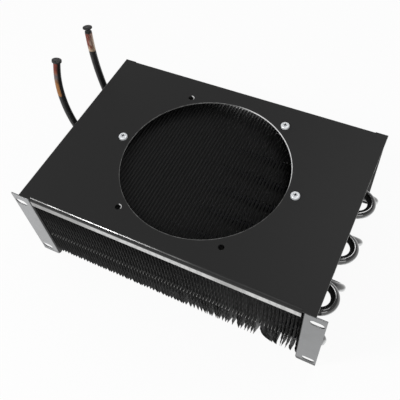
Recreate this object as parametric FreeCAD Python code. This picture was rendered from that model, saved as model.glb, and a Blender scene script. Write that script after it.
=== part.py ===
import FreeCAD, Part
import math
import os

# Air-cooled refrigeration condenser: a finned tube coil between two end plates, under a
# sheet-metal fan shroud. Millimetres, +Z up, X along the tubes, Y from front to back.
# The origin is the centre of the fan opening on the shroud's top face.

# Fan shroud, one bent sheet
SHROUD_LENGTH = 359.0
SHROUD_DEPTH = 247.0
SHROUD_SHEET = 1.2
SHROUD_FRONT_BEND = 3.2
SHROUD_REAR_BEND = 0.5
SHROUD_FLANGE_DROP = 13.4
SHROUD_CORNER_RELIEF = 15.0
FAN_OPENING_DIAMETER = 200.0
FAN_HOLE_MARGIN = 11.0
FAN_HOLE_DIAMETER = 7.0
FAN_HOLE_ANGLE = 55.0

# Screws left in three of the fan holes, with their nuts under the sheet
SCREW_DIAMETER = 5.0
SCREW_LENGTH = 10.0
SCREW_HEAD_DIAMETER = 10.5
SCREW_HEAD_HEIGHT = 3.4
SCREW_HEAD_EDGE = 1.9
SCREW_RECESS_WIDTH = 4.6
SCREW_RECESS_SLOT = 1.2
SCREW_RECESS_DEPTH = 1.8
NUT_ACROSS_FLATS = 8.0
NUT_HEIGHT = 4.0
THREAD_CLEARANCE = 0.05

# End plates: web, slotted front flange, rear flange and the top flange under the shroud
PLATE_SHEET = 1.5
PLATE_INNER_BEND = 1.5
PLATE_OVERHANG = 11.5
PLATE_BOTTOM = -131.0
PLATE_TOP_GAP = 0.8
FRONT_FLANGE_WIDTH = 23.0
REAR_FLANGE_WIDTH = 10.5
TOP_FLANGE_WIDTH = 10.5
TOP_FLANGE_RELIEF = 7.0
SLOT_LENGTH = 16.0
SLOT_WIDTH = 10.0
SLOT_OUTER_MARGIN = 1.5
SLOT_TOP_MARGIN = 14.3
SLOT_BOTTOM_MARGIN = 11.5

# Fin pack, each fin rippled from top to bottom
FIN_PITCH = 4.2
FIN_THICKNESS = 0.2
FIN_WAVES_PER_ROW = 2
FIN_WAVE_HEIGHT = 0.5
FIN_END_GAP = 1.2
FIN_FRONT_GAP = 1.8
FIN_TOP = -14.5

# Tube lattice: rows A to D from the top down, columns from 1 at the front.
# A staggered row lies half a pitch further back.
TUBE_DIAMETER = 9.525
TUBE_PITCH = 31.75
ROW_PITCH = 27.5
ROWS = "ABCD"
STAGGERED_ROWS = "B"
COLUMNS = 7
TUBE_HOLE_CLEARANCE = 0.3

# Bends, and the belled sockets brazed on the left. All hairpins reach equally far out.
HAIRPIN_REACH = 21.2
BELL_START = 0.5
BELL_CONE = 1.2
BELL_LENGTH = 5.8
BELL_DIAMETER = 11.3
BELL_DEPTH = 5.0
BELL_CLEARANCE = 0.1
BRAZE_LENGTH = 1.0
BRAZE_CLEARANCE = 0.03
RETURN_STRAIGHT = 1.3
CROSSOVER_RADIUS = 15.875

# Connection pipes: an elbow, one long curve and a straight end. The turn is about the
# socket's axis, towards the back, and the height is measured along the turned pipe.
PIPE_WALL = 0.8
PIPE_ELBOW_RADIUS = 15.875
PIPE_STRAIGHT_END = 10.0
OUTLET_REACH = 72.3
OUTLET_REACH_HEIGHT = 14.0
OUTLET_CURVE_RADIUS = 119.0
OUTLET_TILT = 5.9
OUTLET_TURN = 16.0
INLET_REACH = 50.0
INLET_REACH_HEIGHT = 51.0
INLET_CURVE_RADIUS = 310.0
INLET_TILT = -2.4
INLET_TURN = 9.0

# Push-in plugs
PLUG_FIT = 0.06
PLUG_SHANK_LENGTH = 8.0
PLUG_TIP_CHAMFER = 0.8
OUTLET_HEAD_DIAMETER = 12.8
OUTLET_HEAD_THICKNESS = 4.0
OUTLET_HEAD_TAPER = 0.8
OUTLET_CROWN_HEIGHT = 0.9
OUTLET_CROWN_WIDTH = 2.0
INLET_HEAD_DIAMETER = 12.4
INLET_HEAD_THICKNESS = 4.4
INLET_HEAD_TAPER = 2.6
INLET_CROWN_HEIGHT = 0.9
INLET_CROWN_WIDTH = 2.4
INLET_NECK_DIAMETER = 6.0
INLET_NECK_LENGTH = 2.2
INLET_COLLAR_DIAMETER = 9.0
INLET_COLLAR_THICKNESS = 1.8

# The circuit from inlet to outlet, each tube named by its row and column
INLET_TUBE = "C7"
HAIRPINS = [("C7", "B6"), ("A6", "A5"), ("A4", "A3"), ("A2", "A1"), ("C1", "D1"), ("B2", "C3"), ("B4", "C5")]
RETURN_BENDS = [("B6", "A6"), ("A5", "A4"), ("A3", "A2")]
CROSSOVERS = [("A1", "C1"), ("D1", "B2"), ("C3", "B4")]
OUTLET_TUBE = "C5"

# Fan holes by their angle from +X, seen from above
SCREWED_FAN_HOLES = [0.0, FAN_HOLE_ANGLE, 180.0]
EMPTY_FAN_HOLES = [180.0 - FAN_HOLE_ANGLE, 180.0 + FAN_HOLE_ANGLE, -FAN_HOLE_ANGLE]

# Places that follow from the sizes above
SHROUD_END = SHROUD_LENGTH / 2
SHROUD_BACK = SHROUD_DEPTH / 2
SHROUD_FRONT = -SHROUD_BACK
PLATE_BEND_RADIUS = PLATE_INNER_BEND + PLATE_SHEET
PLATE_TOP = -SHROUD_SHEET - PLATE_TOP_GAP
SLOT_HEIGHTS = [PLATE_TOP - SLOT_TOP_MARGIN, PLATE_BOTTOM + SLOT_BOTTOM_MARGIN]
WEB_OUTER = SHROUD_END - PLATE_OVERHANG
WEB_INNER = WEB_OUTER - PLATE_SHEET
FIN_FRONT = SHROUD_FRONT + SHROUD_SHEET + FIN_FRONT_GAP
FIN_DEPTH = TUBE_PITCH * (COLUMNS + 0.5)
FIN_HEIGHT = ROW_PITCH * len(ROWS)
TUBE_RADIUS = TUBE_DIAMETER / 2
BELL_MOUTH = WEB_OUTER + BELL_START + BELL_CONE + BELL_LENGTH
BELL_BOTTOM = BELL_MOUTH - BELL_DEPTH

X_AXIS = FreeCAD.Vector(1, 0, 0)
Z_AXIS = FreeCAD.Vector(0, 0, 1)


def box(x0, x1, y0, y1, z0, z1):
    return Part.makeBox(x1 - x0, y1 - y0, z1 - z0, FreeCAD.Vector(x0, y0, z0))


def fused(solids):
    return solids[0].multiFuse(solids[1:]).Solids[0]


def turned(profile, start, heading):
    """Solid of revolution from points (distance along the axis, radius)."""
    points = [FreeCAD.Vector(radius, 0, along) for along, radius in profile]
    face = Part.Face(Part.makePolygon(points + points[:1]))
    solid = face.revolve(FreeCAD.Vector(), Z_AXIS, 360)
    solid.Placement = FreeCAD.Placement(start, FreeCAD.Rotation(Z_AXIS, heading))
    return solid


def rounded_path(points, radii):
    """Edges of an open path whose right-angled corners are rounded, each by its own radius."""
    edges = []
    start = points[0]
    for corner, after, radius in zip(points[1:-1], points[2:], radii):
        back = (start - corner).normalize()
        ahead = (after - corner).normalize()
        centre = corner + (back + ahead) * radius
        crown = centre - (back + ahead).normalize() * radius
        tangent_in = corner + back * radius
        tangent_out = corner + ahead * radius
        edges.append(Part.makeLine(start, tangent_in))
        edges.append(Part.Arc(tangent_in, crown, tangent_out).toShape())
        start = tangent_out
    edges.append(Part.makeLine(start, points[-1]))
    return edges


def inset_path(points, sheet):
    """The same right-angled path on the inner side of a sheet."""
    corners = []
    for before, corner, after in zip(points, points[1:], points[2:]):
        back = (before - corner).normalize()
        ahead = (after - corner).normalize()
        corners.append(corner + (back + ahead) * sheet)
    first = points[0] + (points[2] - points[1]).normalize() * sheet
    last = points[-1] + (points[-3] - points[-2]).normalize() * sheet
    return [first] + corners + [last]


def bent_sheet(points, inner_bends, sheet, extrusion):
    """Sheet bent at right angles, all to one side; the points lie on its outer side."""
    inner = inset_path(points, sheet)
    edges = rounded_path(points, [bend_radius + sheet for bend_radius in inner_bends])
    edges += rounded_path(inner, inner_bends)
    edges.append(Part.makeLine(points[0], inner[0]))
    edges.append(Part.makeLine(points[-1], inner[-1]))
    outline = Part.Wire(Part.__sortEdges__(edges))
    return Part.Face(outline).extrude(extrusion)


def straight(length):
    return ("straight", length, 0.0)


def bend(radius, angle):
    return ("bend", radius, angle)


def bent_bar(start, heading, side, moves, radius):
    """Round bar along straights and bends that all turn to one side.

    Returns the solid, its end point and its heading there."""
    point = start
    runs = []
    for kind, size, angle in moves:
        disk = Part.Face(Part.Wire(Part.makeCircle(radius, point, heading)))
        if kind == "straight":
            runs.append(disk.extrude(heading * size))
            point = point + heading * size
        else:
            centre = point + side * size
            axis = heading.cross(side)
            turn = FreeCAD.Rotation(axis, angle)
            runs.append(disk.revolve(centre, axis, angle))
            point = centre + turn.multVec(point - centre)
            heading = turn.multVec(heading)
            side = turn.multVec(side)
    return fused(runs), point, heading


def tube_centre(name):
    """Where a tube crosses the middle plane; its name is a row letter and a column number."""
    row = ROWS.index(name[0])
    column = int(name[1])
    stagger = 0.5 if name[0] in STAGGERED_ROWS else 0.0
    y = FIN_FRONT + TUBE_PITCH * (column - 0.5 + stagger)
    z = FIN_TOP - ROW_PITCH * (row + 0.5)
    return FreeCAD.Vector(0, y, z)


def tube_names():
    return [name for pair in HAIRPINS for name in pair]


def fan_hole_centre(angle):
    radius = FAN_OPENING_DIAMETER / 2 + FAN_HOLE_MARGIN
    turn = math.radians(angle)
    return FreeCAD.Vector(radius * math.cos(turn), radius * math.sin(turn), 0)


def fan_shroud():
    """Top sheet with turned-down front and rear edges, flat at the four corners."""
    path = [
        FreeCAD.Vector(-SHROUD_END, SHROUD_FRONT, -SHROUD_FLANGE_DROP),
        FreeCAD.Vector(-SHROUD_END, SHROUD_FRONT, 0),
        FreeCAD.Vector(-SHROUD_END, SHROUD_BACK, 0),
        FreeCAD.Vector(-SHROUD_END, SHROUD_BACK, -SHROUD_FLANGE_DROP),
    ]
    bends = [SHROUD_FRONT_BEND, SHROUD_REAR_BEND]
    sheet = bent_sheet(path, bends, SHROUD_SHEET, X_AXIS * SHROUD_LENGTH)
    relief_start = SHROUD_END - SHROUD_CORNER_RELIEF
    strips = [
        (SHROUD_FRONT, SHROUD_FRONT + SHROUD_FRONT_BEND + SHROUD_SHEET),
        (SHROUD_BACK - SHROUD_REAR_BEND - SHROUD_SHEET, SHROUD_BACK),
    ]
    for x0, x1 in [(-SHROUD_END, -relief_start), (relief_start, SHROUD_END)]:
        for y0, y1 in strips:
            sheet = sheet.cut(box(x0, x1, y0, y1, -SHROUD_FLANGE_DROP, 0))
            sheet = sheet.fuse(box(x0, x1, y0, y1, -SHROUD_SHEET, 0))
    below = FreeCAD.Vector(0, 0, -SHROUD_SHEET)
    holes = [Part.makeCylinder(FAN_OPENING_DIAMETER / 2, SHROUD_SHEET, below)]
    for angle in SCREWED_FAN_HOLES + EMPTY_FAN_HOLES:
        place = fan_hole_centre(angle) + below
        holes.append(Part.makeCylinder(FAN_HOLE_DIAMETER / 2, SHROUD_SHEET, place))
    return sheet.cut(holes).removeSplitter().Solids[0]


def mounting_slot(centre_z):
    """Cutter for one slot through the right front flange, long way across."""
    half = (SLOT_LENGTH - SLOT_WIDTH) / 2
    middle = WEB_OUTER + FRONT_FLANGE_WIDTH - SLOT_OUTER_MARGIN - SLOT_LENGTH / 2
    y0 = SHROUD_FRONT
    y1 = SHROUD_FRONT + PLATE_SHEET
    radius = SLOT_WIDTH / 2
    slot = box(middle - half, middle + half, y0, y1, centre_z - radius, centre_z + radius)
    inward = FreeCAD.Vector(0, 1, 0)
    for x in (middle - half, middle + half):
        end = Part.makeCylinder(radius, PLATE_SHEET, FreeCAD.Vector(x, y0, centre_z), inward)
        slot = slot.fuse(end)
    return slot


def right_end_plate():
    """Tube sheet: a web with holes for the tubes and flanges turned out on three sides."""
    path = [
        FreeCAD.Vector(WEB_OUTER + FRONT_FLANGE_WIDTH, SHROUD_FRONT, PLATE_BOTTOM),
        FreeCAD.Vector(WEB_INNER, SHROUD_FRONT, PLATE_BOTTOM),
        FreeCAD.Vector(WEB_INNER, SHROUD_BACK, PLATE_BOTTOM),
        FreeCAD.Vector(WEB_OUTER + REAR_FLANGE_WIDTH, SHROUD_BACK, PLATE_BOTTOM),
    ]
    rise = Z_AXIS * (PLATE_TOP - PLATE_BOTTOM)
    plate = bent_sheet(path, [PLATE_INNER_BEND, PLATE_INNER_BEND], PLATE_SHEET, rise)
    fold_front = SHROUD_FRONT + TOP_FLANGE_RELIEF
    fold_back = SHROUD_BACK - TOP_FLANGE_RELIEF
    fold_bottom = -SHROUD_SHEET - PLATE_BEND_RADIUS
    plate = plate.cut(box(WEB_INNER, WEB_OUTER, fold_front, fold_back, fold_bottom, 0))
    fold_path = [
        FreeCAD.Vector(WEB_INNER, fold_front, fold_bottom - PLATE_SHEET),
        FreeCAD.Vector(WEB_INNER, fold_front, -SHROUD_SHEET),
        FreeCAD.Vector(WEB_OUTER + TOP_FLANGE_WIDTH, fold_front, -SHROUD_SHEET),
    ]
    run = FreeCAD.Vector(0, fold_back - fold_front, 0)
    plate = plate.fuse(bent_sheet(fold_path, [PLATE_INNER_BEND], PLATE_SHEET, run))
    cutters = [mounting_slot(height) for height in SLOT_HEIGHTS]
    for name in tube_names():
        start = tube_centre(name) + X_AXIS * WEB_INNER
        radius = TUBE_RADIUS + TUBE_HOLE_CLEARANCE
        cutters.append(Part.makeCylinder(radius, PLATE_SHEET, start, X_AXIS))
    return plate.cut(cutters).removeSplitter().Solids[0]


def left_end_plate():
    return right_end_plate().mirror(FreeCAD.Vector(), X_AXIS)


def rippled_fin():
    """One fin with its ripples running from front to back, its left face's top edge at x = 0."""
    half_waves = 2 * FIN_WAVES_PER_ROW * len(ROWS)
    left = []
    for i in range(half_waves + 1):
        x = FIN_WAVE_HEIGHT * (i % 2)
        z = FIN_TOP - FIN_HEIGHT * i / half_waves
        left.append(FreeCAD.Vector(x, FIN_FRONT, z))
    right = [point + X_AXIS * FIN_THICKNESS for point in reversed(left)]
    outline = Part.makePolygon(left + right + left[:1])
    return Part.Face(outline).extrude(FreeCAD.Vector(0, FIN_DEPTH, 0))


def fin_pack():
    """As many fins on one pitch as fit between the end plates."""
    fin_width = FIN_THICKNESS + FIN_WAVE_HEIGHT
    room = 2 * (WEB_INNER - FIN_END_GAP) - fin_width
    spaces = math.floor(room / FIN_PITCH)
    first = -(spaces * FIN_PITCH + fin_width) / 2
    fin = rippled_fin()
    return Part.makeCompound([fin.translated(X_AXIS * (first + i * FIN_PITCH)) for i in range(spaces + 1)])


def bell(centre):
    """Flared end of a tube leg, solid up to the bottom of its socket."""
    bore = TUBE_RADIUS + BELL_CLEARANCE
    cone_start = WEB_OUTER + BELL_START
    profile = [
        (cone_start, 0),
        (cone_start, TUBE_RADIUS),
        (cone_start + BELL_CONE, BELL_DIAMETER / 2),
        (BELL_MOUTH, BELL_DIAMETER / 2),
        (BELL_MOUTH, bore),
        (BELL_BOTTOM, bore),
        (BELL_BOTTOM, 0),
    ]
    return turned(profile, centre, -X_AXIS)


def hairpin(first, second):
    """Two legs joined by a bend on the right, with both ends belled on the left."""
    start = tube_centre(first)
    end = tube_centre(second)
    radius = (end - start).Length / 2
    leg = BELL_BOTTOM + WEB_OUTER + HAIRPIN_REACH - radius
    moves = [straight(leg), bend(radius, 180), straight(leg)]
    side = (end - start).normalize()
    bar = bent_bar(start - X_AXIS * BELL_BOTTOM, X_AXIS, side, moves, TUBE_RADIUS)[0]
    return fused([bar, bell(start), bell(end)])


def left_bend(first, second, radius):
    """Bend seated in two sockets on the left, with a straight middle where they lie far apart."""
    start = tube_centre(first)
    end = tube_centre(second)
    reach = BELL_DEPTH + RETURN_STRAIGHT
    middle = (end - start).Length - 2 * radius
    moves = [straight(reach), bend(radius, 90), bend(radius, 90), straight(reach)]
    if middle > 0:
        moves.insert(2, straight(middle))
    side = (end - start).normalize()
    return bent_bar(start - X_AXIS * BELL_BOTTOM, -X_AXIS, side, moves, TUBE_RADIUS)[0]


def return_bend(first, second):
    return left_bend(first, second, (tube_centre(second) - tube_centre(first)).Length / 2)


def crossover(first, second):
    return left_bend(first, second, CROSSOVER_RADIUS)


def braze_ring(centre):
    """Fillet of braze between a socket's mouth and the tube in it."""
    inner = TUBE_RADIUS + BRAZE_CLEARANCE
    end = BELL_MOUTH + BRAZE_LENGTH
    profile = [
        (BELL_MOUTH, inner),
        (BELL_MOUTH, BELL_DIAMETER / 2),
        (end, inner + BELL_CLEARANCE),
        (end, inner),
    ]
    return turned(profile, centre, -X_AXIS)


def connection_pipe(tube, reach, reach_height, curve_radius, tilt, turn):
    """Open pipe from a socket: out, up through an elbow, then a long curve back in.

    Returns the pipe, the middle of its rim and the direction that it points there."""
    start = tube_centre(tube) - X_AXIS * BELL_BOTTOM
    centre_distance = curve_radius - PIPE_ELBOW_RADIUS
    centre_rise = reach_height - start.z - PIPE_ELBOW_RADIUS
    lean = math.degrees(math.asin(centre_rise / centre_distance))
    curve_centre = curve_radius - WEB_OUTER - reach
    elbow_centre = curve_centre - centre_distance * math.cos(math.radians(lean))
    moves = [
        straight(start.x - elbow_centre),
        bend(PIPE_ELBOW_RADIUS, 90 - lean),
        bend(curve_radius, lean + tilt),
        straight(PIPE_STRAIGHT_END),
    ]
    upward = FreeCAD.Rotation(-X_AXIS, turn).multVec(Z_AXIS)
    outside, rim, heading = bent_bar(start, -X_AXIS, upward, moves, TUBE_RADIUS)
    bore = bent_bar(start, -X_AXIS, upward, moves, TUBE_RADIUS - PIPE_WALL)[0]
    return outside.cut(bore).Solids[0], rim, heading


def plug_shank():
    """Profile of the part of a plug inside the pipe, from its tip to the pipe's rim."""
    radius = TUBE_RADIUS - PIPE_WALL - PLUG_FIT
    return [
        (-PLUG_SHANK_LENGTH, 0),
        (-PLUG_SHANK_LENGTH, radius - PLUG_TIP_CHAMFER),
        (-PLUG_SHANK_LENGTH + PLUG_TIP_CHAMFER, radius),
        (0, radius),
    ]


def plug_head(base, diameter, thickness, taper, crown_height, crown_width):
    """Profile of a round head above its tapered underside, with a sloping crown."""
    radius = diameter / 2
    top = base + thickness
    return [
        (base + taper, radius),
        (top - crown_height, radius),
        (top, radius - crown_width),
        (top, 0),
    ]


def outlet_plug(rim, heading):
    """Plug whose round head sits on the pipe's rim."""
    seat = [(0, TUBE_RADIUS)]
    crown = (OUTLET_CROWN_HEIGHT, OUTLET_CROWN_WIDTH)
    head = plug_head(0, OUTLET_HEAD_DIAMETER, OUTLET_HEAD_THICKNESS, OUTLET_HEAD_TAPER, *crown)
    return turned(plug_shank() + seat + head, rim, heading)


def inlet_plug(rim, heading):
    """Mushroom plug: a collar on the rim, a neck and a head above it."""
    neck_top = INLET_COLLAR_THICKNESS + INLET_NECK_LENGTH
    waist = [
        (0, INLET_COLLAR_DIAMETER / 2),
        (INLET_COLLAR_THICKNESS, INLET_COLLAR_DIAMETER / 2),
        (INLET_COLLAR_THICKNESS, INLET_NECK_DIAMETER / 2),
        (neck_top, INLET_NECK_DIAMETER / 2),
    ]
    crown = (INLET_CROWN_HEIGHT, INLET_CROWN_WIDTH)
    head = plug_head(neck_top, INLET_HEAD_DIAMETER, INLET_HEAD_THICKNESS, INLET_HEAD_TAPER, *crown)
    return turned(plug_shank() + waist + head, rim, heading)


def fan_screw(angle):
    """Pan-head screw with a cross recess, seated on the sheet."""
    radius = SCREW_HEAD_DIAMETER / 2
    head = Part.makeCylinder(radius, SCREW_HEAD_HEIGHT)
    top_edge = max(head.Edges, key=lambda edge: edge.BoundBox.ZMin)
    head = head.makeFillet(SCREW_HEAD_EDGE, [top_edge])
    shank = Part.makeCylinder(SCREW_DIAMETER / 2, SCREW_LENGTH, Z_AXIS * -SCREW_LENGTH)
    screw = fused([head, shank])
    wide = SCREW_RECESS_WIDTH / 2
    slim = SCREW_RECESS_SLOT / 2
    floor = SCREW_HEAD_HEIGHT - SCREW_RECESS_DEPTH
    for x, y in [(wide, slim), (slim, wide)]:
        screw = screw.cut(box(-x, x, -y, y, floor, SCREW_HEAD_HEIGHT))
    screw.translate(fan_hole_centre(angle))
    return screw.Solids[0]


def fan_nut(angle):
    """Hexagon nut under the sheet."""
    circle_radius = NUT_ACROSS_FLATS / math.sqrt(3)
    corners = []
    for i in range(7):
        turn = math.radians(60 * i)
        corners.append(FreeCAD.Vector(math.cos(turn), math.sin(turn), 0) * circle_radius)
    nut = Part.Face(Part.makePolygon(corners)).extrude(Z_AXIS * NUT_HEIGHT)
    nut = nut.cut(Part.makeCylinder(SCREW_DIAMETER / 2 + THREAD_CLEARANCE, NUT_HEIGHT))
    nut.translate(fan_hole_centre(angle) - Z_AXIS * (SHROUD_SHEET + NUT_HEIGHT))
    return nut.Solids[0]


def build():
    """Every piece by its node's name."""
    pieces = {
        "fan_shroud": fan_shroud(),
        "left_end_plate": left_end_plate(),
        "right_end_plate": right_end_plate(),
        "fin_pack": fin_pack(),
        "braze_rings": Part.makeCompound([braze_ring(tube_centre(name)) for name in tube_names()]),
        "fan_screws": Part.makeCompound([fan_screw(angle) for angle in SCREWED_FAN_HOLES]),
        "fan_nuts": Part.makeCompound([fan_nut(angle) for angle in SCREWED_FAN_HOLES]),
    }
    for i, (first, second) in enumerate(HAIRPINS, 1):
        pieces[f"hairpin_{i}"] = hairpin(first, second)
    for i, (first, second) in enumerate(RETURN_BENDS, 1):
        pieces[f"return_bend_{i}"] = return_bend(first, second)
    for i, (first, second) in enumerate(CROSSOVERS, 1):
        pieces[f"crossover_{i}"] = crossover(first, second)
    pipe, rim, heading = connection_pipe(
        INLET_TUBE, INLET_REACH, INLET_REACH_HEIGHT, INLET_CURVE_RADIUS, INLET_TILT, INLET_TURN)
    pieces["inlet_pipe"] = pipe
    pieces["inlet_plug"] = inlet_plug(rim, heading)
    pipe, rim, heading = connection_pipe(
        OUTLET_TUBE, OUTLET_REACH, OUTLET_REACH_HEIGHT, OUTLET_CURVE_RADIUS, OUTLET_TILT, OUTLET_TURN)
    pieces["outlet_pipe"] = pipe
    pieces["outlet_plug"] = outlet_plug(rim, heading)
    return pieces


os.makedirs("parts", exist_ok=True)
for node, shape in build().items():
    shape.exportStep(f"parts/{node}.step")
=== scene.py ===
import math
import random

import bpy
from mathutils import Matrix, Vector


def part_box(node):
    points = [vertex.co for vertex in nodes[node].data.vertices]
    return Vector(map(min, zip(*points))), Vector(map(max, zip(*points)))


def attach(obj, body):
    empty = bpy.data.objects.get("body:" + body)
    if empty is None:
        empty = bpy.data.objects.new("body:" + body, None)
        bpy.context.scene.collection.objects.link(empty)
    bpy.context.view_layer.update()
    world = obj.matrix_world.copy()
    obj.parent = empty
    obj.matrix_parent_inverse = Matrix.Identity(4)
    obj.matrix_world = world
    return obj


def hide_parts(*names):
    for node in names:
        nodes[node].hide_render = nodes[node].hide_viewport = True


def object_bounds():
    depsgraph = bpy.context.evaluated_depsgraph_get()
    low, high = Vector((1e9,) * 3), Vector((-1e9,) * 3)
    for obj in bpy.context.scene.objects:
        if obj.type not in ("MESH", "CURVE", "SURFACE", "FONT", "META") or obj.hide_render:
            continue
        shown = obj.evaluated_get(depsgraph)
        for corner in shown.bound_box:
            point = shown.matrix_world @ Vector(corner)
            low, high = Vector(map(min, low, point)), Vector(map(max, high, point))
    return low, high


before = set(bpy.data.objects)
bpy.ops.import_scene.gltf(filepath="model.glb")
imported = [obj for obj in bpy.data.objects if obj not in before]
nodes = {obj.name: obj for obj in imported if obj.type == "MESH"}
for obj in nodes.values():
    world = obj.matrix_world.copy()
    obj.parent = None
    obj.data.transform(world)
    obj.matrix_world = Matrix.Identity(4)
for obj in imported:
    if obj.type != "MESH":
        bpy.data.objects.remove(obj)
cad_low, cad_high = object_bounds()

# Refrigeration condenser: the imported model's finishes, its detailed fin pack and a pale studio.
# Metres, in the frame's own axes: +Z up, X along the tubes, Y from front to back.

MM = 0.001

# The photograph's camera
CAMERA_PLACE = Vector((202.37, -336.90, 499.48)) * MM
CAMERA_TARGET = Vector((16.75, -46.08, 0.0)) * MM
CAMERA_ROLL = math.radians(7.523)
CAMERA_LENS = 49.15
CAMERA_SENSOR = 36.0
CAMERA_REACH = 20.0

# Places read from the frame
shroud_low, shroud_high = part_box("fan_shroud")
fins_low, fins_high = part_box("fin_pack")
_, outlet_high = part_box("outlet_pipe")
inlet_low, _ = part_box("inlet_pipe")
FRONT = shroud_low.y
SHROUD_END = shroud_high.x
FLOOR = cad_low.z
BETWEEN_PIPES = (inlet_low.y + outlet_high.y) / 2

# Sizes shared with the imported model
FAN_OPENING_RADIUS = 100 * MM
FAN_HOLE_CIRCLE_RADIUS = 111 * MM
FAN_HOLE_RADIUS = 3.5 * MM
SCREW_ANGLES = [0, 55, 180]
SCREW_HEAD_HEIGHT = 3.4 * MM
SHROUD_BEND_RADIUS = 4.4 * MM
WEB_OUTER = 168 * MM
FIN_PITCH = 4.2 * MM
FIN_THICKNESS = 0.2 * MM
FIN_WAVE_HEIGHT = 0.5 * MM
FIN_WAVES = 8
TUBE_PITCH = 31.75 * MM
ROW_PITCH = 27.5 * MM
ROWS = "ABCD"
STAGGERED_ROW = "B"
TUBES = ["A1", "A2", "A3", "A4", "A5", "A6", "B2", "B4", "B6", "C1", "C3", "C5", "C7", "D1"]

# Where paint ends and bare metal begins, and the holes whose rims get a painted highlight
FLANGE_COAT_LOW = -4.3 * MM
HIGHLIT_HOLE_ANGLES = [125, -125]
OUTLET_PAINT_TOP = -13 * MM
INLET_PAINT_TOP = 21.5 * MM

# Sockets of the mix node, by number because their names repeat
COLOUR_INPUTS, COLOUR_RESULT = (6, 7), 2
FLOAT_INPUTS, FLOAT_RESULT = (2, 3), 0


def feed(tree, socket, value):
    """Links a socket to another node's output, or sets it to a plain value."""
    if isinstance(value, bpy.types.NodeSocket):
        tree.links.new(value, socket)
    else:
        socket.default_value = value


def add_node(tree, kind, inputs=None, **settings):
    """New node with its settings, and its inputs fed by name or number."""
    made = tree.nodes.new(kind)
    for key, value in settings.items():
        setattr(made, key, value)
    for key, value in (inputs or {}).items():
        feed(tree, made.inputs[key], value)
    return made


def add_object(name, data):
    made = bpy.data.objects.new(name, data)
    bpy.context.scene.collection.objects.link(made)
    return made


class Finish:
    """A node material, with short calls for the nodes that the finishes share."""

    def __init__(self, name):
        self.material = bpy.data.materials.new(name)
        self.material.use_nodes = True
        self.tree = self.material.node_tree
        self.shader = self.tree.nodes["Principled BSDF"]
        texture = self.node("ShaderNodeTexCoord").outputs
        self.place = texture["Object"]
        self.normal = texture["Normal"]
        self.axes = self.parts(self.place)

    def node(self, kind, inputs=None, **settings):
        return add_node(self.tree, kind, inputs, **settings)

    def set(self, **values):
        """Feeds the shader's sockets, named with underscores for spaces."""
        for key, value in values.items():
            feed(self.tree, self.shader.inputs[key.replace("_", " ")], value)

    def parts(self, vector):
        """X, Y and Z of a vector."""
        return self.node("ShaderNodeSeparateXYZ", {"Vector": vector}).outputs

    def math(self, operation, first, second=0.0):
        made = self.node("ShaderNodeMath", {0: first, 1: second}, operation=operation)
        return made.outputs["Value"]

    def chain(self, operation, values):
        """One operation over a row of values, from the first to the last."""
        result = values[0]
        for value in values[1:]:
            result = self.math(operation, result, value)
        return result

    def product(self, *values):
        return self.chain("MULTIPLY", values)

    def total(self, *values):
        return self.chain("ADD", values)

    def largest(self, *values):
        return self.chain("MAXIMUM", values)

    def minus(self, first, second):
        return self.math("SUBTRACT", first, second)

    def along(self, parts, direction):
        """How far a vector reaches in a direction, from as many parts as the direction has."""
        return self.total(*[self.product(part, share) for part, share in zip(parts, direction)])

    def radius(self, centre=(0.0, 0.0)):
        """Distance from an upright axis through a centre, the fan's if none is given."""
        from_x = self.minus(self.axes[0], centre[0])
        from_y = self.minus(self.axes[1], centre[1])
        squares = self.total(self.product(from_x, from_x), self.product(from_y, from_y))
        return self.math("SQRT", squares)

    def ramp(self, value, start, end, low=0.0, high=1.0):
        """Smooth step of a value, low at its start and high at its end."""
        inputs = {"Value": value, "From Min": start, "From Max": end, "To Min": low, "To Max": high}
        made = self.node("ShaderNodeMapRange", inputs, interpolation_type="SMOOTHSTEP")
        return made.outputs["Result"]

    def band(self, value, middle, half):
        """1 where a value is at its middle, falling smoothly to 0 half a width away."""
        return self.ramp(self.math("ABSOLUTE", self.minus(value, middle)), half, 0.0)

    def noise(self, scale, detail=2.0, stretch=(1, 1, 1)):
        """Noise with cells of about 1/scale metres, squeezed by stretch."""
        mapped = self.node("ShaderNodeMapping", {"Vector": self.place, "Scale": stretch})
        inputs = {"Vector": mapped.outputs["Vector"], "Scale": scale, "Detail": detail}
        return self.node("ShaderNodeTexNoise", inputs).outputs["Fac"]

    def mix(self, share, first, second):
        """Colour between two."""
        inputs = {"Factor": share, COLOUR_INPUTS[0]: first, COLOUR_INPUTS[1]: second}
        return self.node("ShaderNodeMix", inputs, data_type="RGBA").outputs[COLOUR_RESULT]

    def blend(self, share, first, second):
        """Number between two."""
        inputs = {"Factor": share, FLOAT_INPUTS[0]: first, FLOAT_INPUTS[1]: second}
        return self.node("ShaderNodeMix", inputs, data_type="FLOAT").outputs[FLOAT_RESULT]

    def bump(self, height, distance, strength=1.0, edge=0.0):
        """Bump of the surface, with its sharp edges eased by a radius."""
        inputs = {"Height": height, "Distance": distance, "Strength": strength}
        if edge:
            eased = self.node("ShaderNodeBevel", {"Radius": edge}, samples=6)
            inputs["Normal"] = eased.outputs["Normal"]
        self.set(Normal=self.node("ShaderNodeBump", inputs).outputs["Normal"])


def grey(level, tint=(1.0, 1.0, 1.0)):
    return (level * tint[0], level * tint[1], level * tint[2], 1.0)


def colour_of(red, green, blue):
    return (red, green, blue, 1.0)


def fan_hole_centre(angle):
    """X and Y of a fan hole, from its angle on the holes' circle in degrees."""
    turn = math.radians(angle)
    return FAN_HOLE_CIRCLE_RADIUS * math.cos(turn), FAN_HOLE_CIRCLE_RADIUS * math.sin(turn)


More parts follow.
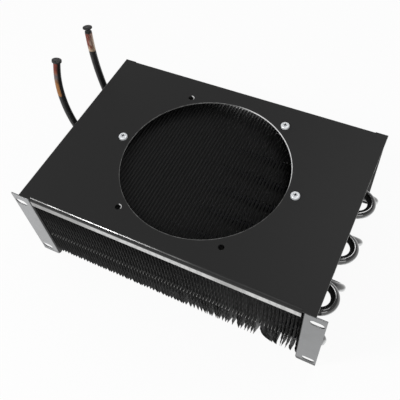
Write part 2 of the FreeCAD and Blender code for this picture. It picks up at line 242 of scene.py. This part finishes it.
def rim_highlights(finish):
    """Painted highlights on rims, pale and not metallic: the right rear of the opening's rim, and
    of two holes' rims.
    """
    x, y, _ = finish.axes
    opening_edge = (FAN_OPENING_RADIUS + 0.8 * MM, FAN_OPENING_RADIUS + 0.5 * MM)
    opening_side = (66 * MM, 90 * MM)
    hole_edge = (FAN_HOLE_RADIUS + 0.75 * MM, FAN_HOLE_RADIUS + 0.35 * MM)
    hole_side = (2.0 * MM, 3.6 * MM)
    right_rear = (0.68, 0.73)
    facing = finish.along(finish.axes, right_rear)
    rim_highlight = finish.product(
        finish.ramp(finish.radius(), *opening_edge), finish.ramp(facing, *opening_side))
    for angle in HIGHLIT_HOLE_ANGLES:
        centre = fan_hole_centre(angle)
        edge = finish.ramp(finish.radius(centre), *hole_edge)
        side = finish.ramp(finish.minus(finish.total(x, y), sum(centre)), *hole_side)
        rim_highlight = finish.largest(rim_highlight, finish.product(side, edge))
    return rim_highlight


def cut_edges(finish):
    """Thin paint on the opening's rim and on the sheet's cut ends, in patches."""
    rim = (FAN_OPENING_RADIUS + 0.45 * MM, FAN_OPENING_RADIUS + 0.15 * MM)
    end = (SHROUD_END - 0.5 * MM, SHROUD_END - 0.15 * MM)
    strength = 0.5
    across = finish.math("ABSOLUTE", finish.axes[0])
    cut = finish.largest(finish.ramp(finish.radius(), *rim), finish.ramp(across, *end))
    patches = finish.ramp(finish.noise(90.0, 2.0), 0.3, 0.6, 0.35, 1.0)
    return finish.product(cut, patches, strength)


def bend_wear_and_highlight(finish):
    """Bare line along the top of the front bend, partly wear and partly painted highlight, which
    fades to the right as the bend's highlight does.
    """
    x, y, z = finish.axes
    line = finish.band(z, -0.5 * MM, 0.42 * MM)
    on_bend = finish.ramp(y, FRONT + 3.4 * MM, FRONT + 2.9 * MM)
    patches = finish.ramp(finish.noise(40.0, 2.0), 0.3, 0.65, 0.3, 0.75)
    # The fade to the right is painted highlight
    fade = finish.ramp(x, 70 * MM, -40 * MM, 0.06, 1.0)
    return finish.product(line, on_bend, patches, fade)


def shroud_steel(finish):
    """Bare steel of the front flange: darker at its left end, around x = 90 mm and in streaks as
    painted reflections, and in clouds of its own tone.
    """
    x = finish.axes[0]
    # Painted reflections: the dark streaks, the darker left end and the dip around x = 90 mm
    streaks = finish.noise(260.0, 3.0, (1, 1, 0.25))
    level = finish.ramp(x, -150 * MM, -20 * MM, 0.25, 0.85)
    reflection_dip = finish.product(finish.band(x, 90 * MM, 26 * MM), 0.5)
    scatter = finish.product(finish.minus(finish.noise(45.0, 2.0), 0.5), 0.9)
    clouds = finish.total(finish.minus(level, reflection_dip), scatter)
    dark = grey(0.36, (1.0, 0.995, 0.98))
    pale = grey(0.68, (1.0, 1.0, 0.99))
    steel = finish.mix(finish.ramp(clouds, 0.0, 1.0), dark, pale)
    return finish.mix(finish.ramp(streaks, 0.45, 0.62, 0.0, 0.35), steel, grey(0.3))


def powder_coat():
    """Black powder coat on the shroud, bare on its front flange and along its cut edges."""
    finish = Finish("black_powder_coat")
    x, y, z = finish.axes
    grain = finish.noise(1500.0, 3.0)
    patches = finish.noise(14.0, 3.0)
    coat = finish.mix(grain, grey(0.0115), grey(0.0205))
    coat = finish.mix(finish.ramp(patches, 0.35, 0.7), coat, grey(0.016))

    front = finish.ramp(y, FRONT + SHROUD_BEND_RADIUS, FRONT + SHROUD_BEND_RADIUS * 0.6)
    waver = finish.product(finish.noise(60.0, 2.0), 0.7 * MM)
    height = finish.total(z, waver)
    bare = finish.product(front, finish.ramp(height, FLANGE_COAT_LOW, FLANGE_COAT_LOW - 0.6 * MM))
    # Painted highlights on the rims of the opening and of two holes
    rim_highlight = rim_highlights(finish)
    metal = finish.largest(bare, finish.largest(cut_edges(finish), bend_wear_and_highlight(finish)))
    colour = finish.mix(metal, coat, shroud_steel(finish))
    finish.set(Base_Color=finish.mix(rim_highlight, colour, grey(0.95)))
    finish.set(Metallic=finish.product(metal, finish.minus(1.0, rim_highlight)))

    # The front bend is glossier towards the left, where it carries the long highlight
    coat_roughness, bend_roughness, bare_roughness = 0.5, 0.23, 0.45
    shine = finish.product(front, finish.band(x, -85 * MM, 85 * MM))
    gloss = finish.blend(finish.math("POWER", shine, 0.5), coat_roughness, bend_roughness)
    finish.set(Roughness=finish.blend(bare, gloss, bare_roughness))
    finish.set(Specular_IOR_Level=0.27)
    finish.bump(grain, 0.06 * MM, finish.blend(front, 0.5, 0.04), edge=0.5 * MM)
    return finish.material


def galvanised(name, level, foot):
    """Galvanised sheet with a faint spangle, black inside, partly overspray and partly painted
    shade, and darker towards the foot.

    The level is the zinc's brightness, set lower on the right plate than on the left as painted
    shade, and the foot says how much darker the foot is."""
    finish = Finish(name)
    x, y, z = finish.axes
    cells = finish.node("ShaderNodeTexVoronoi", {"Vector": finish.place, "Scale": 260.0})
    shade = finish.node("ShaderNodeSeparateColor", {"Color": cells.outputs["Color"]})
    spangle = shade.outputs["Red"]
    dark_cell = grey(level * 0.93, (0.98, 1.0, 1.02))
    light_cell = grey(level * 1.05, (0.99, 1.0, 1.01))
    dull = finish.ramp(finish.noise(45.0, 4.0), 0.4, 0.75, 0.0, 0.3)
    colour = finish.mix(dull, finish.mix(spangle, dark_cell, light_cell), grey(level * 0.72))

    # Darker towards the foot
    waver = finish.product(finish.noise(120.0, 3.0), 3.0 * MM)
    height = finish.total(z, waver)
    foot_darkening = finish.ramp(height, FLOOR + 8.5 * MM, FLOOR + 6.5 * MM, 0.0, foot)
    colour = finish.mix(foot_darkening, colour, grey(level * 0.3))

    # Black over all that lies behind the front flange, and over the flange's own bend on the fins'
    # side: overspray as on the fins, and on the bend also painted shade where it curves away from
    # the light
    across = finish.math("ABSOLUTE", x)
    near_fins = finish.ramp(across, WEB_OUTER + 0.3 * MM, WEB_OUTER - 0.6 * MM)
    behind = finish.ramp(y, FRONT + 0.3 * MM, FRONT + 0.9 * MM)
    past_bend = finish.ramp(finish.total(y, waver), FRONT + 2.2 * MM, FRONT + 5.0 * MM)
    spray_and_shade = finish.largest(past_bend, finish.product(near_fins, behind))
    colour = finish.mix(spray_and_shade, colour, grey(0.012, (1.0, 1.02, 1.05)))
    finish.set(Base_Color=colour)
    finish.set(Metallic=finish.blend(spray_and_shade, 1.0, 0.0))
    finish.set(Roughness=finish.blend(spangle, 0.38, 0.5))
    finish.bump(finish.noise(700.0, 2.0), 0.04 * MM, 0.4, edge=0.4 * MM)
    return finish.material


# Rows of wear and painted glints on the fins' front edges: their height and strength
FIN_WEAR_AND_GLINTS = [(-50.5 * MM, 0.14), (-63.5 * MM, 0.18), (-83.5 * MM, 1.0)]
FIN_WEAR_AND_GLINT_WIDTH = 2.0 * MM


def fin_coat():
    """Thin black coating on the fins, with painted shade under the shroud and on their top edges,
    painted light deep between them, and pale lines along their front edges, partly wear and partly
    painted glints.
    """
    finish = Finish("black_fins")
    x, y, z = finish.axes
    top = fins_high.z
    streaks = finish.noise(400.0, 3.0, (1, 1, 0.2))
    behind = finish.minus(y, fins_low.y)
    to_right = finish.ramp(x, -80 * MM, 120 * MM)

    # The fins' black: lighter at the left than at the right as painted light, darker under the
    # shroud as its painted shadow, and darker towards the foot
    below_shroud_shade = finish.ramp(z, -22.0 * MM, -62.0 * MM)
    foot = finish.ramp(z, -88 * MM, -104 * MM, 0.0, 0.4)
    face = finish.mix(foot, finish.mix(to_right, grey(0.031), grey(0.014)), grey(0.010))
    colour = finish.mix(below_shroud_shade, grey(0.013), face)

    # Painted light in the shade deep between the fins, from just behind their front edges; the pale
    # colour named dust here is this painted light
    painted_light_start = finish.blend(to_right, 1.5 * MM, 0.2 * MM)
    painted_light_full = finish.blend(to_right, 13.0 * MM, 8.0 * MM)
    inside = finish.ramp(behind, painted_light_start, painted_light_full)
    below = finish.ramp(z, top - 1.0 * MM, top - 14.0 * MM)
    dust = finish.mix(to_right, grey(0.34), grey(0.38))
    colour = finish.mix(finish.product(inside, below), colour, dust)
    colour = finish.mix(finish.ramp(streaks, 0.35, 0.65, 0.0, 0.3), colour, grey(0.012))

    # Painted light that grows with depth under the fan opening, lifting the shade between the fins
    # there
    under_fan = finish.product(
        finish.ramp(finish.radius(), 114 * MM, 84 * MM), finish.ramp(behind, 8 * MM, 22 * MM),
        finish.ramp(z, top - 36 * MM, top - 22 * MM))
    deep = finish.ramp(z, top - 0.5 * MM, top - 13 * MM)
    colour = finish.mix(under_fan, colour, finish.mix(deep, grey(0.032), grey(0.29)))
    # Painted shade: the fins' top edges made darker where the light falls on them
    shaded_top_edge = finish.ramp(z, top - 0.8 * MM, top - 0.2 * MM)
    colour = finish.mix(shaded_top_edge, colour, finish.mix(under_fan, grey(0.010), grey(0.013)))

    # Pale lines on the fins' front edges: partly worn metal, partly painted glints, brighter
    # towards the right
    warm = (1.0, 0.99, 0.97)
    worn_metal_and_glint = finish.mix(to_right, grey(0.5, warm), grey(0.85, warm))
    near = finish.ramp(behind, 5.0 * MM, 3.0 * MM)
    for height, strength in FIN_WEAR_AND_GLINTS:
        line = finish.product(finish.band(z, height, FIN_WEAR_AND_GLINT_WIDTH), near)
        growing = finish.ramp(x, -60 * MM, 140 * MM, 0.5 * strength, strength)
        colour = finish.mix(finish.product(line, growing), colour, worn_metal_and_glint)
    finish.set(Base_Color=colour)
    finish.set(Roughness=finish.blend(streaks, 0.5, 0.65))
    finish.set(Specular_IOR_Level=0.15)
    finish.bump(finish.noise(900.0, 2.0), 0.03 * MM, 0.3)
    return finish.material


def gloss_paint():
    """Gloss black paint on the coil tubes, pale on the outer sides of the hairpin bends: partly
    thin paint, partly a painted reflection of the white floor.
    """
    finish = Finish("black_tube")
    runs = finish.noise(90.0, 2.0)
    outer_side = (0.75, -0.3, -0.55)
    facing = finish.along(finish.parts(finish.normal), outer_side)
    outward = finish.total(facing, finish.product(runs, 0.25))
    past_plate = finish.ramp(finish.axes[0], WEB_OUTER, WEB_OUTER + 9 * MM)
    # Pale outer sides: partly thin paint, partly a painted reflection of the white floor
    thin_paint_and_reflection = finish.product(finish.ramp(outward, 0.56, 0.84), past_plate)
    paint = finish.mix(runs, grey(0.004), grey(0.010))
    finish.set(Base_Color=finish.mix(thin_paint_and_reflection, paint, grey(0.62, (0.98, 1.0, 1.0))))
    finish.set(Metallic=finish.product(thin_paint_and_reflection, 0.4))
    finish.set(Roughness=finish.blend(runs, 0.07, 0.16))
    finish.set(Specular_IOR_Level=1.0)
    finish.set(Coat_Weight=0.9, Coat_Roughness=0.04)
    finish.bump(finish.noise(170.0, 2.0), 0.1 * MM, 0.25)
    return finish.material


def heat_tint(finish, inlet, stain):
    """Heat-tinted copper: rust over slate and orange on the outlet, beige and rust on the inlet."""
    rust = colour_of(0.20, 0.035, 0.022)
    orange = colour_of(0.36, 0.16, 0.055)
    slate = colour_of(0.14, 0.12, 0.125)
    beige = colour_of(0.50, 0.36, 0.25)
    soot = colour_of(0.05, 0.025, 0.018)
    pale = colour_of(0.62, 0.5, 0.4)
    z = finish.axes[2]
    tint = finish.noise(70.0, 2.0, (1, 1, 0.5))
    top = finish.ramp(z, OUTLET_PAINT_TOP + 26 * MM, OUTLET_PAINT_TOP + 38 * MM)
    middle = finish.band(z, OUTLET_PAINT_TOP + 27 * MM, 10 * MM)
    outlet_pipe = finish.mix(top, finish.mix(middle, orange, slate), rust)
    outlet_pipe = finish.mix(finish.ramp(stain, 0.5, 0.68, 0.0, 0.6), outlet_pipe, soot)
    inlet_pipe = finish.mix(finish.ramp(tint, 0.42, 0.54), beige, rust)
    inlet_pipe = finish.mix(finish.ramp(stain, 0.46, 0.62, 0.0, 0.7), inlet_pipe, pale)
    return finish.mix(inlet, outlet_pipe, inlet_pipe)


def pipe_paint():
    """Bare, heat-tinted copper at the top of the connection pipes, over black paint."""
    finish = Finish("pipe_copper")
    _, y, z = finish.axes
    stain = finish.noise(190.0, 4.0, (1, 1, 0.35))
    inlet = finish.math("GREATER_THAN", y, BETWEEN_PIPES)
    paint_top = finish.blend(inlet, OUTLET_PAINT_TOP, INLET_PAINT_TOP)
    waver = finish.product(finish.noise(150.0, 3.0), 4.0 * MM)
    over = finish.minus(finish.total(z, waver), paint_top)

    # The black paint also on the sides that face right, mostly on the outlet pipe
    right_side = (0.9, 0.44)
    inlet_share = 0.25
    to_right = finish.along(finish.parts(finish.normal), right_side)
    black_to_right = finish.ramp(finish.total(to_right, finish.product(stain, 0.3)), 0.25, 0.6)
    black_to_right = finish.product(black_to_right, finish.blend(inlet, 1.0, inlet_share))
    bare = finish.product(finish.ramp(over, 1.4 * MM, 2.8 * MM), finish.minus(1.0, black_to_right))
    paint = finish.mix(stain, grey(0.008), grey(0.018))
    finish.set(Base_Color=finish.mix(bare, paint, heat_tint(finish, inlet, stain)))
    finish.set(Metallic=finish.product(bare, 0.5))
    finish.set(Roughness=finish.blend(bare, 0.3, 0.4))
    finish.bump(stain, 0.08 * MM, 0.5)
    return finish.material


def braze_metal():
    """Braze fillets, dark with paint and flux."""
    finish = Finish("braze")
    lumps = finish.noise(420.0, 3.0)
    flux = grey(0.015)
    bronze = colour_of(0.16, 0.10, 0.05)
    finish.set(Base_Color=finish.mix(finish.ramp(lumps, 0.4, 0.65), flux, bronze))
    finish.set(Metallic=finish.ramp(lumps, 0.4, 0.65, 0.0, 0.7))
    finish.set(Roughness=0.42)
    finish.bump(lumps, 0.2 * MM, 0.6)
    return finish.material


def zinc_plate():
    """Bright zinc on the screws and nuts, with painted shade in the screws' recesses."""
    finish = Finish("zinc_fasteners")
    recess_radius = (2.5 * MM, 2.1 * MM)
    recess_top = (SCREW_HEAD_HEIGHT - 0.1 * MM, SCREW_HEAD_HEIGHT - 0.5 * MM)
    hollows = [
        finish.ramp(finish.radius(fan_hole_centre(angle)), *recess_radius)
        for angle in SCREW_ANGLES]
    # Painted shade in the screws' recesses
    recess_shade = finish.product(finish.largest(*hollows), finish.ramp(finish.axes[2], *recess_top))
    wear = finish.noise(500.0, 3.0)
    zinc = finish.mix(wear, grey(0.88, (0.97, 1.0, 1.04)), grey(0.97, (0.98, 1.0, 1.02)))
    finish.set(Base_Color=finish.mix(recess_shade, zinc, grey(0.05, (0.9, 1.0, 1.3))))
    finish.set(Metallic=finish.blend(recess_shade, 0.3, 0.6))
    finish.set(Roughness=finish.blend(wear, 0.18, 0.34))
    finish.bump(wear, 0.03 * MM, 0.4)
    return finish.material


def plug_rubber():
    """Black rubber with a dusty bloom."""
    finish = Finish("black_rubber")
    dust = finish.noise(350.0, 4.0)
    finish.set(Base_Color=finish.mix(finish.ramp(dust, 0.4, 0.75), grey(0.012), grey(0.045)))
    finish.set(Roughness=finish.blend(dust, 0.42, 0.62))
    finish.bump(finish.noise(1500.0, 2.0), 0.04 * MM, 0.4)
    return finish.material


def dress(names, material):
    """Puts one material on every slot of the named nodes."""
    for name in names:
        mesh = nodes[name].data
        if not mesh.materials:
            mesh.materials.append(material)
        for i in range(len(mesh.materials)):
            mesh.materials[i] = material


def dress_frame():
    """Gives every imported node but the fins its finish."""
    tubes = [name for name in nodes if name.startswith(("hairpin", "return_bend", "crossover"))]
    dress(["fan_shroud"], powder_coat())
    # The plates' different zinc levels are painted light and shade: the left plate lighter, the
    # right one darker
    dress(["left_end_plate"], galvanised("galvanised_left_lit", level=0.43, foot=0.45))
    dress(["right_end_plate"], galvanised("galvanised_right_shaded", level=0.30, foot=0.8))
    dress(tubes, gloss_paint())
    dress(["braze_rings"], braze_metal())
    dress(["fan_screws", "fan_nuts"], zinc_plate())
    dress(["inlet_pipe", "outlet_pipe"], pipe_paint())
    dress(["inlet_plug", "outlet_plug"], plug_rubber())


def new_piece(name, vertices, faces, material, body):
    """Smooth-shaded piece of the object and on a body."""
    mesh = bpy.data.meshes.new(name)
    mesh.from_pydata(vertices, [], faces)
    mesh.materials.append(material)
    for polygon in mesh.polygons:
        polygon.use_smooth = True
    piece = add_object(name, mesh)
    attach(piece, body)
    return piece


def grid_faces(first, rows, across, closed=False):
    """Faces between rows of points, round to the first point of a row if they are closed."""
    faces = []
    for row in range(rows - 1):
        start = first + row * across
        for column in range(across if closed else across - 1):
            here = start + column
            beside = start + (column + 1) % across
            faces.append((here, beside, beside + across, here + across))
    return faces


# A fin's grid: the rows of points in each wave, and three groups of columns. They lie so many
# mm behind its front edge, at shares of its depth, and so many mm before its rear edge.
FIN_ROWS_PER_WAVE = 5
FIN_ROWS = FIN_WAVES * FIN_ROWS_PER_WAVE + 1
FIN_FRONT_COLUMNS = [0.0, 1.2, 2.8, 5.0, 8.0, 12.0, 17.0]
FIN_MIDDLE_COLUMNS = [0.2, 0.4, 0.6, 0.8]
FIN_REAR_COLUMNS = [8.0, 3.0, 0.0]

# Sway of the fins' front and rear edges along X. It wanders along the pack and is half as
# large at the right end.
SWAY = 0.35 * MM
SWAY_SCATTER = 0.2 * MM
SWAY_FINS_PER_KNOT = 5.5
SWAY_SEED = 11
SWAY_LEFT_AT_END = 0.5
FRONT_SWAY_DEPTH = 5 * MM
REAR_SWAY_DEPTH = 6 * MM

# Scatter of the bends from fin to fin. The height and the hem change by a factor. The push
# changes by up to PUSH_SCATTER mm at the left end, and by PUSH_SCATTER_GROWTH mm more at the
# right end.
SCATTER_SEED = 7
BEND_HEIGHT_SCATTER = (0.85, 1.15)
HEM_SCATTER = (0.3, 1.3)
PUSH_SCATTER = 0.55
PUSH_SCATTER_GROWTH = 0.2

# The fins' damage. Their lower front corners are pushed along X, and the lowest strip, the
# hem, a little more. Each row says, in mm but for the power: the place along X, the push, the
# depth and height of the bend, the power of its rise, and the push of the hem.
HEM_HEIGHT = 6 * MM
HEM_DEPTH = 30 * MM
FIN_BENDS = [
    (-164, -0.4, 4.5, 30, 1.2, 0.6),
    (-155, -1.2, 4.5, 30, 1.2, 1.2),
    (-60, -1.6, 5, 36, 1.2, 2.1),
    (0, -2.0, 6, 44, 1.2, 2.8),
    (26, -2.4, 8, 44, 1.2, 2.6),
    (31, 0.5, 10, 36, 1.6, 1.0),
    (36, 2.6, 14, 40, 1.6, 1.0),
    (46, 3.2, 14, 40, 1.6, 1.0),
    (54, 1.5, 12, 40, 1.6, 1.0),
    (58, -2.0, 10, 40, 1.6, 1.6),
    (62, 3.0, 10, 40, 1.6, 0.5),
    (66, 0.0, 12, 44, 1.6, 0.5),
    (69, -2.4, 14, 60, 1.2, 0.5),
    (84, -4.0, 14, 60, 1.2, 0.8),
    (88.2, -2.5, 14, 50, 1.2, 1.6),
    (92.4, 1.2, 14, 44, 1.6, 1.6),
    (96.6, -3.0, 14, 60, 1.0, 0.5),
    (100.8, -3.0, 16, 70, 1.0, 0.3),
    (117.6, -4.2, 16, 70, 1.0, 0.3),
    (121.8, 8.6, 20, 28, 2.0, 3.0),
    (126, 6.6, 24, 44, 1.3, 3.4),
    (130.2, 4.4, 24, 50, 1.2, 3.4),
    (134.4, 2.6, 24, 50, 1.2, 3.4),
    (138.6, 0.8, 24, 50, 1.2, 2.4),
    (142.8, -1.2, 20, 50, 1.2, 1.2),
    (147, -0.9, 14, 50, 1.2, 0.3),
    (151.2, -3.4, 10, 60, 1.0, 0.3),
    (155.4, -3.4, 10, 60, 1.0, 0.6),
    (159.6, -3.0, 10, 60, 1.0, 2.5),
    (163.8, 0.8, 10, 60, 1.0, 3.0),
]


def fin_bend(x):
    """Push, depth, height, power and hem of the bend at a place, between the listed ones."""
    for before, after in zip(FIN_BENDS, FIN_BENDS[1:]):
        if x <= after[0] * MM:
            share = (x / MM - before[0]) / (after[0] - before[0])
            return [a + (b - a) * share for a, b in zip(before[1:], after[1:])]
    return list(FIN_BENDS[-1][1:])


def smooth_wander(count, step, seed):
    """Values from -1 to 1 that wander smoothly along a row of fins."""
    maker = random.Random(seed)
    knots = [maker.uniform(-1, 1) for _ in range(int(count / step) + 3)]
    values = []
    for i in range(count):
        k = int(i / step)
        t = i / step - k
        t = t * t * (3 - 2 * t)
        values.append(knots[k] * (1 - t) + knots[k + 1] * t)
    return values


def fin_count():
    """How many fins the pack holds, from its width."""
    width = fins_high.x - fins_low.x
    return round((width - FIN_THICKNESS - FIN_WAVE_HEIGHT) / FIN_PITCH) + 1


def fin_columns():
    """Distances behind the fins' front edges at which a fin has points."""
    depth = fins_high.y - fins_low.y
    front = [value * MM for value in FIN_FRONT_COLUMNS]
    middle = [depth * share for share in FIN_MIDDLE_COLUMNS]
    rear = [depth - value * MM for value in FIN_REAR_COLUMNS]
    return front + middle + rear


def falling(distance, reach):
    """1 at no distance, falling straight to 0 at its reach."""
    return max(0.0, 1 - distance / reach)


def fin_points(centre, share, sway, columns, maker):
    """Points of one fin, in rows from the top down. The share is its place in the pack."""
    height = fins_high.z - fins_low.z
    depth = columns[-1]
    push, bend_depth, bend_height, power, hem = fin_bend(centre)
    bend_height *= maker.uniform(*BEND_HEIGHT_SCATTER)
    push += maker.uniform(-1, 1) * (PUSH_SCATTER + PUSH_SCATTER_GROWTH * share)
    hem *= maker.uniform(*HEM_SCATTER)
    lean = sway * SWAY + maker.uniform(-1, 1) * SWAY_SCATTER
    lean *= 1 - (1 - SWAY_LEFT_AT_END) * share
    points = []
    for row in range(FIN_ROWS):
        down = row / (FIN_ROWS - 1)
        z = fins_high.z - height * down
        ripple = math.cos(2 * math.pi * FIN_WAVES * down) * FIN_WAVE_HEIGHT / -2
        low = falling(z - fins_low.z, bend_height * MM)
        lowest = falling(z - fins_low.z, HEM_HEIGHT)
        for y in columns:
            corner = low ** power * falling(y, bend_depth * MM)
            edge = falling(y, FRONT_SWAY_DEPTH) + falling(depth - y, REAR_SWAY_DEPTH)
            x = centre + ripple + push * corner * MM + lean * edge
            x += hem * lowest * falling(y, HEM_DEPTH) * MM
            lift = corner * push * push / bend_height * MM
            points.append((x, fins_low.y + y, z + lift))
    return points


def fin_pack():
    """Rippled fins, with their lower front corners bent as if the unit had been set on them."""
    count = fin_count()
    columns = fin_columns()
    sway = smooth_wander(count, SWAY_FINS_PER_KNOT, SWAY_SEED)
    maker = random.Random(SCATTER_SEED)
    vertices = []
    faces = []
    for i in range(count):
        centre = fins_low.x + i * FIN_PITCH + (FIN_THICKNESS + FIN_WAVE_HEIGHT) / 2
        faces += grid_faces(len(vertices), FIN_ROWS, len(columns))
        vertices += fin_points(centre, i / (count - 1), sway[i], columns, maker)
    fins = new_piece("fins", vertices, faces, fin_coat(), "condenser")
    sheet = fins.modifiers.new("sheet", "SOLIDIFY")
    sheet.thickness = FIN_THICKNESS
    sheet.offset = 0
    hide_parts("fin_pack")


def tube_centre(name):
    """Depth and height of a tube, from its row letter and column number."""
    row = ROWS.index(name[0])
    column = int(name[1])
    stagger = 0.5 if name[0] == STAGGERED_ROW else 0.0
    y = fins_low.y + TUBE_PITCH * (column - 0.5 + stagger)
    z = fins_high.z - ROW_PITCH * (row + 0.5)
    return y, z


# A collar's outline from one fin to the next: the share of the pitch and the radius in mm
COLLAR_PROFILE = [(0.0, 6.1), (0.12, 5.3), (0.55, 5.05), (0.9, 5.1)]
COLLAR_SIDES = 14


def fin_collars():
    """The collars between the fins, one drawn sleeve for each tube with a flare at each fin."""
    spaces = fin_count() - 1
    vertices = []
    faces = []
    for name in TUBES:
        y0, z0 = tube_centre(name)
        faces += grid_faces(
            len(vertices), spaces * len(COLLAR_PROFILE), COLLAR_SIDES, closed=True)
        for i in range(spaces):
            for along, radius in COLLAR_PROFILE:
                x = fins_low.x + (i + along) * FIN_PITCH + FIN_WAVE_HEIGHT
                for side in range(COLLAR_SIDES):
                    turn = 2 * math.pi * side / COLLAR_SIDES
                    y = y0 + radius * MM * math.cos(turn)
                    vertices.append((x, y, z0 + radius * MM * math.sin(turn)))
    coat = bpy.data.materials["black_fins"]
    new_piece("fin_collars", vertices, faces, coat, "condenser")


def camera():
    """The photograph's camera, rolled about its line of sight."""
    data = bpy.data.cameras.new("camera")
    data.lens = CAMERA_LENS
    data.sensor_width = CAMERA_SENSOR
    data.clip_end = CAMERA_REACH
    made = add_object("camera", data)
    forward = (CAMERA_TARGET - CAMERA_PLACE).normalized()
    level_right = forward.cross(Vector((0, 0, 1))).normalized()
    level_up = level_right.cross(forward)
    right = level_right * math.cos(CAMERA_ROLL) - level_up * math.sin(CAMERA_ROLL)
    up = level_up * math.cos(CAMERA_ROLL) + level_right * math.sin(CAMERA_ROLL)
    turn = Matrix((right, up, -forward)).transposed().to_4x4()
    made.matrix_world = Matrix.Translation(CAMERA_PLACE) @ turn
    bpy.context.scene.camera = made


def softbox(name, place, target, width, height, power):
    """Area lamp at a place, facing a target."""
    data = bpy.data.lights.new(name, "AREA")
    data.shape = "RECTANGLE"
    data.size = width
    data.size_y = height
    data.energy = power
    lamp = add_object(name, data)
    lamp.location = place
    lamp.rotation_mode = "QUATERNION"
    lamp.rotation_quaternion = (Vector(target) - Vector(place)).to_track_quat("-Z", "Y")


def seen_as_backdrop(tree):
    """1 for rays that show the background: the camera's, reflected and refracted ones."""
    path = add_node(tree, "ShaderNodeLightPath").outputs
    share = path["Is Camera Ray"]
    for kind in ("Is Glossy Ray", "Is Transmission Ray"):
        either = add_node(tree, "ShaderNodeMath", {0: share, 1: path[kind]}, operation="MAXIMUM")
        share = either.outputs["Value"]
    return share


FLOOR_SIZE = 8.0
FLOOR_PAINT = 0.9
FLOOR_GLOW = 0.93


def floor():
    """White floor that glows as a backdrop but keeps the object's shadow."""
    reach = FLOOR_SIZE / 2
    corners = [(-reach, -reach), (reach, -reach), (reach, reach), (-reach, reach)]
    mesh = bpy.data.meshes.new("floor")
    mesh.from_pydata([(x, y, FLOOR) for x, y in corners], [], [(0, 1, 2, 3)])
    add_object("floor", mesh)
    material = bpy.data.materials.new("floor")
    material.use_nodes = True
    tree = material.node_tree
    tree.nodes.clear()
    paint = add_node(tree, "ShaderNodeBsdfDiffuse", {"Color": grey(FLOOR_PAINT)})
    glow = add_node(tree, "ShaderNodeEmission", {"Strength": 1.0})
    share = add_node(
        tree, "ShaderNodeMath", {0: seen_as_backdrop(tree), 1: FLOOR_GLOW}, operation="MULTIPLY")
    mix = add_node(tree, "ShaderNodeMixShader", {
        "Fac": share.outputs["Value"], 1: paint.outputs["BSDF"], 2: glow.outputs["Emission"]})
    add_node(tree, "ShaderNodeOutputMaterial", {"Surface": mix.outputs["Shader"]})
    mesh.materials.append(material)


# Name, place, target, width, height and power in watts of each area lamp
LAMPS = [
    ("key", (-0.72, -0.75, 1.0), (0, 0, 0), 0.26, 0.40, 8.0),
    ("fill", (0.9, -0.9, 0.8), (0, 0, 0), 0.7, 0.5, 2.5),
    ("strip", (0.25, 0.6, 1.0), (0.19, 0, 0), 0.20, 0.28, 1.5),
    ("overhead", (0.35, 0.15, 1.1), (0.19, 0, 0), 0.15, 0.15, 0.4),
]

# The surroundings' strength at the walls and overhead, and the heights between which it falls
WALL_STRENGTH, CEILING_STRENGTH = 0.9, 0.28
WALL_TOP, CEILING_EDGE = 0.3, 0.62


def studio():
    """White walls, a dimmer ceiling and four area lamps."""
    world = bpy.data.worlds.new("studio")
    world.use_nodes = True
    bpy.context.scene.world = world
    tree = world.node_tree
    way = add_node(tree, "ShaderNodeTexCoord").outputs["Generated"]
    height = add_node(tree, "ShaderNodeSeparateXYZ", {"Vector": way}).outputs["Z"]
    ceiling = add_node(tree, "ShaderNodeMapRange", {
        "Value": height, "From Min": WALL_TOP, "From Max": CEILING_EDGE,
        "To Min": WALL_STRENGTH, "To Max": CEILING_STRENGTH})
    background = tree.nodes["Background"]
    feed(tree, background.inputs["Color"], grey(1.0))
    feed(tree, background.inputs["Strength"], ceiling.outputs["Result"])
    for lamp in LAMPS:
        softbox(*lamp)


bpy.context.scene.view_settings.view_transform = "Standard"
camera()
dress_frame()
fin_pack()
fin_collars()
floor()
studio()
